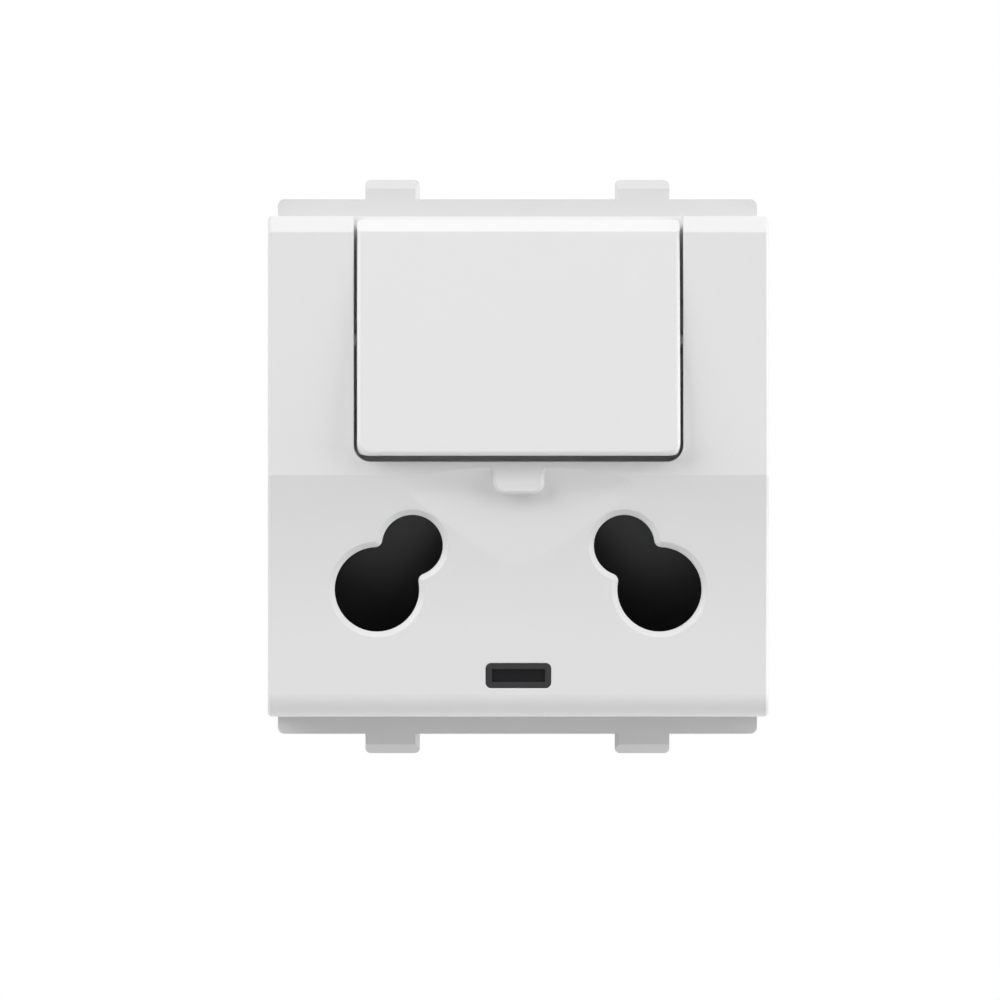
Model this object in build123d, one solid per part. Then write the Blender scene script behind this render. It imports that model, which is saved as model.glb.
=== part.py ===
from build123d import *
import os
from math import asin, atan2, cos, degrees, hypot, radians, sin, sqrt, tan

# Two-module switched universal socket, a clip-in insert for a modular wall plate.
# X is right, Y runs back into the wall and Z is up, in millimetres.
# The origin is the middle of the plane on which the mounting flange seats behind its frame.
# A reach is how far a surface stands in front of that plane, towards -Y.

# Front cover
cover_width = 45.0
cover_height = 45.0
cover_wall = 1.7
top_reach = 7.7
top_bevel = 1.45
ridge_reach = 9.0
ridge_z = -0.8
plateau_reach = 7.0
plateau_foot = 7.0
bottom_round = 2.0
cover_edge = 0.25

# Mounting flange, clip lugs and rear base
flange_width = 43.2
flange_lip = 1.6
flange_thickness = 2.0
flange_corner = 0.6
seat_step = 0.2
lug_pitch = 22.5
lug_width = 4.9
lug_rise = 1.75
lug_ramp = 0.8
lug_corner = 0.45
lug_side_bevel = 0.4
base_width = 41.6
base_inset = 1.5
base_depth = 22.5
base_wall = 1.8
base_floor = 6.5
base_corner = 1.0
rib_wall = 1.2
core_width = 4.6
core_height = 5.0
core_depth = 4.5
core_pitch_x = 6.2
core_pitch_z = 7.0
core_first_x = 2.0
core_first_z = -13.0
core_columns = 2
core_rows = 4

# Rocker of the switch
rocker_width = 29.0
rocker_top_gap = 0.2
rocker_plate = 2.0
rocker_skirt = 3.4
rocker_wall = 1.5
rocker_corner = 1.2
rocker_round = 0.4
rocker_top_corner = 0.4
rocker_bevel = 1.3
rocker_draft = 0.7
rocker_bottom_z = 0.95
rocker_tilt = 9.0
rocker_travel = 8.0
rocker_gap = 0.29
window_gap = 0.52
pivot_depth = 2.7
pivot_radius = 0.6
pivot_length = 1.3
pivot_clearance = 0.05
well_wall = 2.0
ledge_width = 0.9
ledge_depth = 1.2

# Thumb tab and finger dish below the rocker
tab_width = 4.6
tab_bottom_z = -2.5
tab_corner = 1.1
tab_root = 0.8
tab_edge = 0.25
dish_top_z = -0.05
dish_depth = 1.3
dish_half_width = 12.0
dish_step = 1.05
dish_round = 3.3
dish_slope = 1.0
dish_knee_z = -3.2
dish_foot_z = -10.0
dish_runout = 0.04

# Pin apertures, for pins 5.1 and 7.05 thick
pin6_pitch = 19.05
pin6_hole_radius = 2.75
pin16_pitch = 25.4
pin16_foot = 11.45
pin16_hole_radius = 3.8
pin_rise = 3.95
neck_round = 0.65
hole_chamfer = 0.5
pad_reach = 4.9
pad_margin = 1.2

# Indicator
lens_width = 5.8
lens_height = 2.15
lens_foot = 3.7
lens_corner = 0.45
lens_bezel = 0.5
lens_recess = 0.5
lens_flange = 0.8
lens_lip = 0.6
lens_clearance = 0.05
board_length = 14.8
board_height = 3.2
board_thickness = 1.0
board_stand_off = 2.0
post_pitch = 10.0
post_width = 1.8
peg_width = 0.8
led_width = 3.0
led_height = 1.4
led_depth = 1.1
resistor_length = 3.2
resistor_height = 1.6
resistor_depth = 0.6
lead_pitch = 12.8
lead_rise = 0.5
lead_width = 0.7

# Switch mechanism
tube_radius = 2.5
tube_bore = 1.75
tube_length = 5.7
plunger_radius = 1.6
plunger_nose_radius = 0.4
plunger_nose_length = 2.2
plunger_length = 6.05
plunger_reach = 9.45
plunger_spring_radius = 1.3
plunger_spring_wire = 0.32
plunger_spring_turns = 4
lever_width = 4.6
lever_strip = 0.8
lever_end = 0.2
lever_swing = 18.0
lever_clearance = 0.2
fulcrum_strip = 0.8
fulcrum_clearance = 0.1
horn_width = 1.0
tip_width = 2.8
tip_height = 0.9
tip_gap = 0.1
bracket_clearance = 0.15

# Brass contacts and terminals
strip_thickness = 0.8
sleeve_wall = 0.8
sleeve16_radius = 3.48
sleeve6_radius = 2.52
sleeve_neck = 1.3
sleeve_length = 8.6
sleeve_slit = 1.2
clip_strip = 0.5
clip_width = 3.0
clip_clearance = 0.05
clip_sides = 8
strip_width = 5.0
live_strap_x = 12.0
terminal_plate = 8.0
line_terminal_x = -10.4
line_terminal_drop = 7.5
neutral_terminal_x = -13.0
neutral_terminal_z = 3.0
terminal_window = 7.2
wire_channel = 5.2
terminal_screw_radius = 1.75
terminal_screw_length = 3.4
terminal_head_radius = 2.9
terminal_head_height = 2.0
clamp_width = 6.6
clamp_thickness = 1.0
screw_slot = 0.8

# Shutter, its spring and the contact cover behind it
shutter_margin = 0.45
shutter_gap = 0.3
shutter_ramp = 6.4
shutter_back = 0.4
shutter_travel = 11.4
bridge_height = 3.0
bridge_depth = 3.6
shutter_spring_radius = 1.8
shutter_spring_wire = 0.4
shutter_spring_turns = 6
shutter_spring_length = 16.3
coil_runs = 8
coil_seat = 0.58
shelf_width = 6.0
shelf_height = 1.2
contact_cover_thickness = 1.8
contact_cover_clearance = 0.2
switch_gate = 10.4

# Screws that hold the cover to the base
cover_screw_inset_x = 3.0
cover_screw_inset_z = 3.2
cover_screw_radius = 1.25
cover_screw_head = 2.1
cover_screw_head_height = 1.6
boss_radius = 2.3
column_radius = 2.5
screw_hole_clearance = 0.15
head_clearance = 0.3

# Places that follow from the driving dimensions
half_width = cover_width / 2
half_height = cover_height / 2
plateau_z = plateau_foot - half_height
flange_height = cover_height + 2 * flange_lip
base_height = cover_height - 2 * base_inset
seat_half = half_height + head_clearance
cavity_x = base_width / 2 - base_wall
cavity_z = base_height / 2 - base_wall
bevel_foot_z = half_height - top_bevel
upper_slope = (ridge_reach - top_reach) / (bevel_foot_z - ridge_z)
tilt = radians(rocker_tilt)
rocker_length = (half_height - rocker_top_gap - rocker_bottom_z) / cos(tilt)
rocker_half = rocker_length / 2
rocker_drop = (rocker_half - rocker_round) * cos(tilt) - (pivot_depth - rocker_round) * sin(tilt) + rocker_round
pivot_z = rocker_bottom_z + rocker_drop
flush_point = (bevel_foot_z - pivot_z - pivot_depth * sin(tilt)) / cos(tilt)
pivot_y = pivot_depth * cos(tilt) - flush_point * sin(tilt) - top_reach
window_half = rocker_width / 2 + rocker_gap
window_bottom_z = rocker_bottom_z - window_gap
ledge_y = pivot_y + (rocker_skirt - pivot_depth) * cos(tilt) + rocker_gap
ledge_top_z = half_height + rocker_length
ledge_top_y = ledge_y + (ledge_top_z - pivot_z) * tan(tilt)
pin16_x = pin16_pitch / 2
pin16_z = pin16_foot - half_height
pin6_x = pin6_pitch / 2
pin6_z = pin16_z + pin_rise
pin_spacing = hypot(pin6_x - pin16_x, pin6_z - pin16_z)
pin_turn = degrees(atan2(pin6_z - pin16_z, pin6_x - pin16_x))
inner_x = half_width - cover_wall
inner_z = half_height - cover_wall
plateau_inner_y = cover_wall - plateau_reach
floor_y = base_depth - base_floor
strip_y = floor_y - strip_thickness
shutter_front_y = shutter_gap - pad_reach
shutter_back_y = shutter_front_y + shutter_ramp + shutter_back
shutter_inner_x = pin6_x - pin6_hole_radius - shutter_margin
shutter_outer_x = pin16_x + pin16_hole_radius + shutter_margin
shutter_bottom_z = pin16_z - pin16_hole_radius - shutter_margin
shutter_top_z = pin6_z + pin6_hole_radius + shutter_margin
bridge_top_z = shutter_bottom_z + bridge_height
shelf_z = bridge_top_z + shutter_spring_length
spring_y = shutter_back_y - bridge_depth / 2
contact_cover_y = shutter_back_y + shutter_gap
sleeve_front_y = contact_cover_y + contact_cover_thickness + contact_cover_clearance
sleeve_back_y = sleeve_front_y + sleeve_length
plunger_swing = radians(rocker_tilt - rocker_travel / 2)
lever_front_y = pivot_y + plunger_reach * cos(plunger_swing) + lever_clearance
lever_axis_y = lever_front_y + lever_strip + fulcrum_clearance + fulcrum_strip / 2
lever_axis_z = pivot_z - plunger_reach * sin(plunger_swing)
lever_half_swing = radians(lever_swing / 2)
lever_back = -fulcrum_clearance - fulcrum_strip / 2
tip_half = tip_width / 2
tip_arm = cavity_z - lever_axis_z - tip_half - strip_thickness / 2 - bracket_clearance
lever_upper = tip_arm + tip_half + lever_end
lever_lower = lever_axis_z - shelf_z - shelf_height - lever_end
tip_end = lever_back + tip_height
tip_throw = tip_end * cos(lever_half_swing) + (tip_arm + tip_half) * sin(lever_half_swing)
fixed_tip_y = lever_axis_y + tip_throw + tip_gap
fixed_tip_z = lever_axis_z + tip_arm
lens_z = lens_foot - half_height
board_front_y = plateau_inner_y + board_stand_off
board_back_y = board_front_y + board_thickness
lead_x = lead_pitch / 2
lead_z = lens_z + lead_rise
line_terminal_z = half_height - line_terminal_drop
cross_rib_z = pin6_z + sleeve6_radius + sleeve_wall + rib_wall
cover_screw_x = base_width / 2 - cover_screw_inset_x
cover_screw_z = base_height / 2 - cover_screw_inset_z
screw_head_y = base_depth - 2 * cover_screw_head_height
web_reach = ridge_reach - cover_wall - seat_step
web_shift_x = (inner_x - boss_radius / 2 + cover_wall / 2) / cover_screw_x
web_shift_z = (inner_z - boss_radius / 2 + cover_wall / 2) / cover_screw_z
cover_screw_places = [(-cover_screw_x, -cover_screw_z), (cover_screw_x, cover_screw_z)]
terminal_places = [(line_terminal_x, line_terminal_z), (neutral_terminal_x, neutral_terminal_z)]


def block(x0, x1, y0, y1, z0, z1):
    """A box between two corners."""
    middle = Pos((x0 + x1) / 2, (y0 + y1) / 2, (z0 + z1) / 2)
    return middle * Box(x1 - x0, y1 - y0, z1 - z0)


def slab(sketch, front, back):
    """A sketch in X and Z, given depth from front to back along Y."""
    return Pos(0, back, 0) * extrude(Plane.XZ * sketch, back - front)


def across(sketch, width):
    """A side profile in Y and Z, given width centred on X."""
    return extrude(Plane.YZ * sketch, width / 2, both=True)


def rod(x, z, radius, front, back):
    """A round rod along Y."""
    return slab(Pos(x, z) * Circle(radius), front, back)


def post(x, z, width, front, back):
    """A square post along Y."""
    return slab(Pos(x, z) * Rectangle(width, width), front, back)


def cross_rod(y, z, radius, x0, x1):
    """A round rod along X."""
    return Pos((x0 + x1) / 2, y, z) * Rot(0, 90, 0) * Cylinder(radius, x1 - x0)


def mirrored(shape):
    """The shape together with its mirror image on the other side of the middle plane."""
    return shape + mirror(shape, Plane.YZ)


def upper_reach(z):
    """How far the sloping upper face of the cover stands forward at height z."""
    return ridge_reach - (z - ridge_z) * upper_slope


def keyhole(radius16, radius6, neck):
    """The joined round holes for a thick and a thin pin on the right side, with rounded necks."""
    reach16 = radius16 + neck
    reach6 = radius6 + neck
    neck_u = (reach16**2 - reach6**2 + pin_spacing**2) / (2 * pin_spacing)
    neck_v = sqrt(reach16**2 - neck_u**2)
    middle = Vector(neck_u, neck_v)
    thick = middle * (radius16 / reach16)
    thin = Vector(pin_spacing, 0) + Vector(neck_u - pin_spacing, neck_v) * (radius6 / reach6)
    waist = middle + ((thick + thin) * 0.5 - middle).normalized() * neck
    upper = ThreePointArc((thick.X, thick.Y), (waist.X, waist.Y), (thin.X, thin.Y))
    lower = ThreePointArc((thick.X, -thick.Y), (waist.X, -waist.Y), (thin.X, -thin.Y))
    thick_arc = ThreePointArc((thick.X, thick.Y), (-radius16, 0), (thick.X, -thick.Y))
    thin_arc = ThreePointArc((thin.X, thin.Y), (pin_spacing + radius6, 0), (thin.X, -thin.Y))
    outline = make_face(upper + lower + thick_arc + thin_arc)
    return Pos(pin16_x, pin16_z) * Rot(0, 0, pin_turn) * outline


def pin_ways(front, back):
    """The cutters of the pin apertures of both poles."""
    return mirrored(slab(keyhole(pin16_hole_radius, pin6_hole_radius, neck_round), front, back))


def coil(radius, wire, turns, length):
    """A compression spring standing on the origin along Z, its helix in short straight runs."""
    steps = turns * coil_runs
    seat = coil_seat * wire
    rise = (length - 2 * seat) / steps
    bends = []
    for step in range(steps + 1):
        turn = radians(360 * step / coil_runs)
        bends.append((radius * cos(turn), radius * sin(turn), seat + step * rise))
    path = Polyline(*bends)
    start = Plane(origin=path @ 0, x_dir=(1, 0, 0), z_dir=path % 0)
    return sweep(start * Rectangle(wire, wire), path=path, transition=Transition.RIGHT)


def cover_profile(rear_y):
    """Side profile of the cover: bevel, sloping upper face, ridge, concave sweep and rounded foot."""
    rise = ridge_z - plateau_z
    step = ridge_reach - plateau_reach
    sweep_radius = (rise**2 + step**2) / (2 * step)
    half_angle = asin(rise / sweep_radius) / 2
    sweep_y = -plateau_reach - sweep_radius
    foot_z = bottom_round - half_height
    upper = Polyline(
        (rear_y, half_height),
        (top_bevel - top_reach, half_height),
        (-top_reach, bevel_foot_z),
        (-ridge_reach, ridge_z),
    )
    concave = ThreePointArc(
        (-ridge_reach, ridge_z),
        (sweep_y + sweep_radius * cos(half_angle), plateau_z + sweep_radius * sin(half_angle)),
        (-plateau_reach, plateau_z),
    )
    lower = Line((-plateau_reach, plateau_z), (-plateau_reach, foot_z))
    foot = JernArc(lower @ 1, (0, -1), bottom_round, 90)
    rear = Polyline(foot @ 1, (rear_y, -half_height), (rear_y, half_height))
    return make_face(upper + concave + lower + foot + rear)


def window_sketch():
    """The rocker's window, rounded at its foot and open through the top of the cover."""
    corner = rocker_corner + rocker_gap
    outline = RectangleRounded(2 * window_half, ledge_top_z - window_bottom_z, corner)
    return Pos(0, (ledge_top_z + window_bottom_z) / 2) * outline


def rocker_well():
    """The cutter of the rocker's well, down to a ledge that clears the rocker's rear edge all the way."""
    clear_y = -2 * ridge_reach
    profile = make_face(
        Polyline(
            (clear_y, -half_height),
            (ledge_y, -half_height),
            (ledge_y, pivot_z),
            (ledge_top_y, ledge_top_z),
            (clear_y, ledge_top_z),
            close=True,
        )
    )
    return slab(window_sketch(), clear_y, 0) & across(profile, cover_width)


def well_side():
    """The right-hand wall of the rocker's well with its ledge, kept clear of the raised shutter."""
    step_z = shutter_top_z + shutter_travel + shutter_margin
    profile = make_face(
        Polyline(
            (-ridge_reach, window_bottom_z),
            (-pad_reach, window_bottom_z),
            (-pad_reach, step_z),
            (ledge_y + ledge_depth, step_z),
            (ledge_y + ledge_depth, pivot_z),
            (ledge_top_y + ledge_depth, ledge_top_z),
            (-ridge_reach, ledge_top_z),
            close=True,
        )
    )
    width = well_wall + ledge_width
    return Pos(window_half + well_wall - width / 2, 0, 0) * across(profile, width)


def thumb_tab():
    """The short tab that hangs from the window's lip, level with the upper face."""
    half_tab = tab_width / 2
    root_z = window_bottom_z
    arm = Pos(0, (root_z + tab_bottom_z) / 2) * Rectangle(tab_width, root_z - tab_bottom_z)
    lip_height = root_z - dish_top_z
    lip = Pos(0, root_z - lip_height / 2) * Rectangle(3 * tab_width, lip_height)
    outline = arm + lip
    roots = [v for v in outline.vertices() if abs(abs(v.X) - half_tab) < 0.01 and abs(v.Y - dish_top_z) < 0.01]
    outline = fillet(roots, tab_root)
    feet = [v for v in outline.vertices() if abs(v.Y - tab_bottom_z) < 0.01]
    outline = fillet(feet, tab_corner)
    back_y = -plateau_reach
    slope = make_face(
        Polyline(
            (-upper_reach(root_z), root_z),
            (-upper_reach(tab_bottom_z), tab_bottom_z),
            (back_y, tab_bottom_z),
            (back_y, root_z),
            close=True,
        )
    )
    tab = slab(outline, -2 * ridge_reach, back_y) & across(slope, 4 * tab_width)
    front = tab.faces().sort_by(Axis.Y)[0]
    bevelled = [e for e in front.edges() if e.center().Z < dish_top_z + tab_edge / 2]
    return chamfer(bevelled, tab_edge)


def finger_dish():
    """The cutter of the shallow finger dish round the tab: a side profile swept round a far upright axis."""
    rise = dish_foot_z - plateau_z
    step = ridge_reach - plateau_reach
    sweep_radius = ((ridge_z - plateau_z) ** 2 + step**2) / (2 * step)
    foot_reach = plateau_reach + sweep_radius - sqrt(sweep_radius**2 - rise**2)
    clear_y = -2 * ridge_reach
    start = (-upper_reach(dish_top_z), dish_top_z)
    corner = (dish_depth - ridge_reach, dish_top_z - dish_step)
    knee = (corner[0] + (corner[1] - dish_knee_z) * tan(radians(dish_slope)), dish_knee_z)
    foot = (-foot_reach - dish_runout, dish_foot_z)
    cove = FilletPolyline(start, corner, knee, radius=dish_round)
    bed = TangentArc(knee, foot, tangent=cove % 1)
    front = Polyline(foot, (clear_y, dish_foot_z), (clear_y, dish_top_z), start)
    profile = Plane.YZ * make_face(cove + bed + front)
    dish_radius = (dish_half_width**2 + dish_depth**2) / (2 * dish_depth)
    axis = Axis((0, dish_depth - ridge_reach - dish_radius, 0), (0, 0, 1))
    half_turn = degrees(asin(1.4 * dish_half_width / dish_radius))
    return revolve(profile.rotate(axis, -half_turn), axis, 2 * half_turn)


def front_cover():
    """The white moulded front: a hollow shell with the window, dish, tab, apertures and inner bosses."""
    rear_y = -seat_step
    outer = across(cover_profile(rear_y), cover_width)
    sides = outer.faces().filter_by(Axis.X)
    side_edges = [e for e in sides.edges() if e.center().Y < rear_y]
    outer = chamfer(side_edges, cover_edge)
    outer -= pin_ways(-2 * ridge_reach, rear_y)
    rim = keyhole(pin16_hole_radius, pin6_hole_radius, neck_round).edges()
    rims = []
    for edge in outer.edges():
        middle = edge.center()
        shadow = Vertex(abs(middle.X), middle.Z, 0)
        on_rim = min(part.distance_to(shadow) for part in rim) < 0.01
        if on_rim and middle.Y < -plateau_reach:
            rims.append(edge)
    outer = chamfer(rims, hole_chamfer)
    hollow = offset(cover_profile(2 * cover_wall), -cover_wall, kind=Kind.INTERSECTION)
    cover = outer - across(hollow, 2 * inner_x)
    pad_x = shutter_outer_x + pad_margin
    pad_top_z = window_bottom_z + ledge_width
    pad = block(-pad_x, pad_x, -ridge_reach, -pad_reach, shutter_bottom_z - pad_margin, pad_top_z)
    solids = pad + mirrored(well_side())
    for x, z in cover_screw_places:
        solids += rod(x, z, boss_radius, -ridge_reach, rear_y)
        solids += Pos(x * web_shift_x, rear_y - web_reach / 2, z) * Box(boss_radius, web_reach, rib_wall)
        solids += Pos(x, rear_y - web_reach / 2, z * web_shift_z) * Box(rib_wall, web_reach, boss_radius)
    cover += solids & outer
    cover -= finger_dish()
    cover -= rocker_well()
    cover += thumb_tab()
    hole_end_x = window_half + pivot_length + pivot_clearance
    pivot_hole = pivot_radius + pivot_clearance
    cover -= mirrored(cross_rod(pivot_y, pivot_z, pivot_hole, window_half - pivot_clearance, hole_end_x))
    lens_hole = RectangleRounded(
        lens_width + 2 * lens_clearance, lens_height + 2 * lens_clearance, lens_corner + lens_clearance
    )
    cover -= slab(Pos(0, lens_z) * lens_hole, -2 * ridge_reach, 0)
    for x in (-post_pitch / 2, post_pitch / 2):
        cover += post(x, lens_z, post_width, plateau_inner_y, board_front_y)
        cover += post(x, lens_z, peg_width, board_front_y, board_back_y + peg_width / 2)
    for x, z in cover_screw_places:
        cover -= rod(x, z, cover_screw_radius, -pad_reach, rear_y)
    return cover


def clip_lug():
    """The top left clip lug, with a ramp and a bevelled inner side so that it snaps in from behind."""
    foot_z = flange_height / 2 - flange_corner
    top_z = flange_height / 2 + lug_rise
    profile = make_face(
        Polyline(
            (0, foot_z),
            (0, top_z - lug_ramp),
            (lug_ramp, top_z),
            (flange_thickness, top_z),
            (flange_thickness, foot_z),
            close=True,
        )
    )
    outline = Pos(0, (foot_z + top_z) / 2) * RectangleRounded(lug_width, top_z - foot_z, lug_corner)
    lug = slab(outline, 0, flange_thickness) & across(profile, lug_width)
    side = lug_width / 2
    bevel = make_face(Polyline((side, 0), (side, lug_side_bevel), (side - lug_side_bevel, 0), close=True))
    return Pos(-lug_pitch / 2, 0, 0) * (lug - extrude(bevel, top_z))


def rear_base():
    """The white moulded base with flange and lugs: an open box with ribs, terminal windows and screw columns."""
    flange = slab(RectangleRounded(flange_width, flange_height, flange_corner), 0, flange_thickness)
    half_flange = flange_width / 2
    flange += block(-half_flange, half_flange, -seat_step, 0, -seat_half, seat_half)
    body = flange + slab(RectangleRounded(base_width, base_height, base_corner), 0, base_depth)
    lugs = mirrored(clip_lug())
    body += lugs + mirror(lugs, Plane.XY)
    body -= block(-cavity_x, cavity_x, -1, floor_y, -cavity_z, cavity_z)
    rib_y = contact_cover_y + contact_cover_thickness
    body += block(-cavity_x, cavity_x, rib_y, floor_y, cross_rib_z - rib_wall / 2, cross_rib_z + rib_wall / 2)
    body += block(-rib_wall / 2, rib_wall / 2, rib_y, floor_y, -cavity_z, cross_rib_z)
    notch_half = strip_width / 2 + head_clearance
    notch_y = strip_y - head_clearance
    notch_z0 = cross_rib_z - rib_wall
    notch_z1 = cross_rib_z + rib_wall
    for x in (neutral_terminal_x, live_strap_x):
        body -= block(x - notch_half, x + notch_half, notch_y, floor_y, notch_z0, notch_z1)
    for x, z in cover_screw_places:
        body += rod(x, z, column_radius, -seat_step, floor_y)
        body -= rod(x, z, cover_screw_radius + screw_hole_clearance, -seat_step, base_depth)
        body -= rod(x, z, cover_screw_head + head_clearance, screw_head_y, base_depth)
    half_window = terminal_window / 2
    for x, z in terminal_places:
        body -= block(x - half_window, x + half_window, floor_y, base_depth, z - half_window, z + half_window)
    half_channel = wire_channel / 2
    channel_y = floor_y + clamp_thickness
    channel_end_y = channel_y + wire_channel
    line_x0 = line_terminal_x - half_channel
    line_x1 = line_terminal_x + half_channel
    body -= block(line_x0, line_x1, channel_y, channel_end_y, line_terminal_z, base_height)
    neutral_z0 = neutral_terminal_z - half_channel
    neutral_z1 = neutral_terminal_z + half_channel
    body -= block(-base_width, neutral_terminal_x, channel_y, channel_end_y, neutral_z0, neutral_z1)
    return body - core_pockets()


def core_pockets():
    """The cored pockets that keep the thick floor of the base to an even wall."""
    pockets = []
    for column in range(core_columns):
        for row in range(core_rows):
            x = core_first_x + column * core_pitch_x
            z = core_first_z + row * core_pitch_z
            pockets.append(block(x, x + core_width, base_depth - core_depth, base_depth, z, z + core_height))
    return Part() + pockets


def contact_cover():
    """The black plate between shutter and contacts, with pin guides, a gate for the switch and a spring shelf."""
    back_y = contact_cover_y + contact_cover_thickness
    plate_x = cavity_x - contact_cover_clearance
    foot_z = contact_cover_clearance - cavity_z
    top_z = shutter_top_z + shutter_travel + shutter_margin
    shelf_top_z = shelf_z + shelf_height
    plate = block(-plate_x, plate_x, contact_cover_y, back_y, foot_z, top_z)
    plate -= block(-switch_gate / 2, switch_gate / 2, contact_cover_y, back_y, shelf_top_z, top_z)
    plate -= pin_ways(contact_cover_y, back_y)
    for x, z in cover_screw_places:
        plate -= rod(x, z, column_radius + contact_cover_clearance, contact_cover_y, back_y)
    plate -= mirrored(post(lead_x, lead_z, lead_width + 2 * screw_hole_clearance, contact_cover_y, back_y))
    shelf_front_y = spring_y - shutter_spring_radius - shutter_spring_wire
    return plate + block(-shelf_width / 2, shelf_width / 2, shelf_front_y, contact_cover_y, shelf_z, shelf_top_z)


def shutter():
    """The black safety shutter: two ramped blocks behind the apertures, joined by a bridge with a spring peg."""
    profile = make_face(
        Polyline(
            (shutter_front_y, shutter_top_z),
            (shutter_front_y + shutter_ramp, shutter_bottom_z),
            (shutter_back_y, shutter_bottom_z),
            (shutter_back_y, shutter_top_z),
            close=True,
        )
    )
    ramp_width = shutter_outer_x - shutter_inner_x
    ramp = Pos(shutter_inner_x + ramp_width / 2, 0, 0) * across(profile, ramp_width)
    bridge_y = shutter_back_y - bridge_depth
    bridge = block(-shutter_inner_x, shutter_inner_x, bridge_y, shutter_back_y, shutter_bottom_z, bridge_top_z)
    peg_height = 2 * shutter_spring_radius
    peg = Pos(0, spring_y, bridge_top_z + peg_height / 2) * Cylinder(
        shutter_spring_radius - shutter_spring_wire, peg_height
    )
    return mirrored(ramp) + bridge + peg


def shutter_spring():
    """The steel spring that presses the shutter down from the shelf."""
    length = shelf_z - bridge_top_z
    return Pos(0, spring_y, bridge_top_z) * coil(
        shutter_spring_radius, shutter_spring_wire, shutter_spring_turns, length
    )


def on_rocker(shape):
    """Place a shape drawn round the rocker's pivot, tilted to its off position."""
    return Pos(0, pivot_y, pivot_z) * Rot(-rocker_tilt, 0, 0) * shape


def rocker_outline(inset):
    """The rocker's outline seen from the front, with larger corners at its foot."""
    outline = Rectangle(rocker_width - 2 * inset, rocker_length - 2 * inset)
    corners = outline.vertices().group_by(Axis.Y)
    outline = fillet(corners[0], rocker_corner)
    return fillet(outline.vertices().group_by(Axis.Y)[-1], rocker_top_corner)


def switch_rocker():
    """The white moulded rocker: a hollow cap with a bevelled top, two pivot pins and a tube for the plunger."""
    face_y = -pivot_depth
    rear_y = face_y + rocker_skirt
    plate_y = face_y + rocker_plate
    cap = slab(rocker_outline(0), face_y, rear_y)
    cap = fillet(cap.faces().sort_by(Axis.Y)[0].edges(), rocker_round)
    cap -= slab(rocker_outline(rocker_wall), plate_y, rear_y)
    bevel = make_face(
        Polyline(
            (face_y - rocker_bevel, rocker_half - 2 * rocker_bevel),
            (face_y + 2 * rocker_bevel, rocker_half + rocker_bevel),
            (face_y - rocker_bevel, rocker_half + rocker_bevel),
            close=True,
        )
    )
    cap -= across(bevel, 2 * rocker_width)
    draft = make_face(
        Polyline(
            (face_y + rocker_round, -rocker_half),
            (rear_y, -rocker_half),
            (rear_y, rocker_draft - rocker_half),
            close=True,
        )
    )
    cap -= across(draft, 2 * rocker_width)
    cap += rod(0, 0, tube_radius, plate_y, plate_y + tube_length)
    rib_x = rocker_width / 2 - rocker_wall
    rib_z = rocker_half - rocker_wall
    cap += block(-rib_x, rib_x, plate_y, rear_y, -rib_wall / 2, rib_wall / 2)
    cap += block(-rib_wall / 2, rib_wall / 2, plate_y, rear_y, -rib_z, rib_z)
    cap -= rod(0, 0, tube_bore, plate_y, plate_y + tube_length)
    side_x = rocker_width / 2
    cap += mirrored(cross_rod(0, 0, pivot_radius, side_x, window_half + pivot_length))
    return on_rocker(cap)


def switch_plunger():
    """The nylon plunger whose tapered nose presses the contact lever over."""
    tail_y = plunger_reach - plunger_length
    shoulder_y = plunger_reach - plunger_nose_length
    profile = make_face(
        Polyline(
            (0, tail_y),
            (plunger_radius, tail_y),
            (plunger_radius, shoulder_y),
            (plunger_nose_radius, plunger_reach),
            (0, plunger_reach),
            close=True,
        )
    )
    return on_rocker(revolve(profile, Axis.Y))


def plunger_spring():
    """The steel spring behind the plunger, in the rocker's tube."""
    seat_y = rocker_plate - pivot_depth
    length = plunger_reach - plunger_length - seat_y
    spring = coil(plunger_spring_radius, plunger_spring_wire, plunger_spring_turns, length)
    return on_rocker(Pos(0, seat_y, 0) * Rot(-90, 0, 0) * spring)


def on_lever(shape):
    """Place a shape drawn round the lever's rocking axis, swung to its off position."""
    return Pos(0, lever_axis_y, lever_axis_z) * Rot(lever_swing / 2, 0, 0) * shape


def contact_lever():
    """The brass see-saw strip that the plunger tips over."""
    outline = Rectangle(lever_width, lever_upper + lever_lower)
    outline = Pos(0, (lever_upper - lever_lower) / 2) * fillet(outline.vertices(), lever_strip)
    return on_lever(slab(outline, lever_back - lever_strip, lever_back))


def lever_tip():
    """The square silver contact pad on the lever's upper arm."""
    return on_lever(post(0, tip_arm, tip_width, lever_back, tip_end))


def fixed_tip():
    """The square silver contact pad on the live contact's bracket."""
    return post(0, fixed_tip_z, tip_width, fixed_tip_y, fixed_tip_y + tip_height)


def terminal_hole(x, z):
    """The tapped hole of a terminal plate."""
    return rod(x, z, terminal_screw_radius, strip_y, floor_y)


def terminal_plate_at(x, z):
    """A flat terminal plate on the base's floor, over its window."""
    half_plate = terminal_plate / 2
    return block(x - half_plate, x + half_plate, strip_y, floor_y, z - half_plate, z + half_plate)


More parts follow.
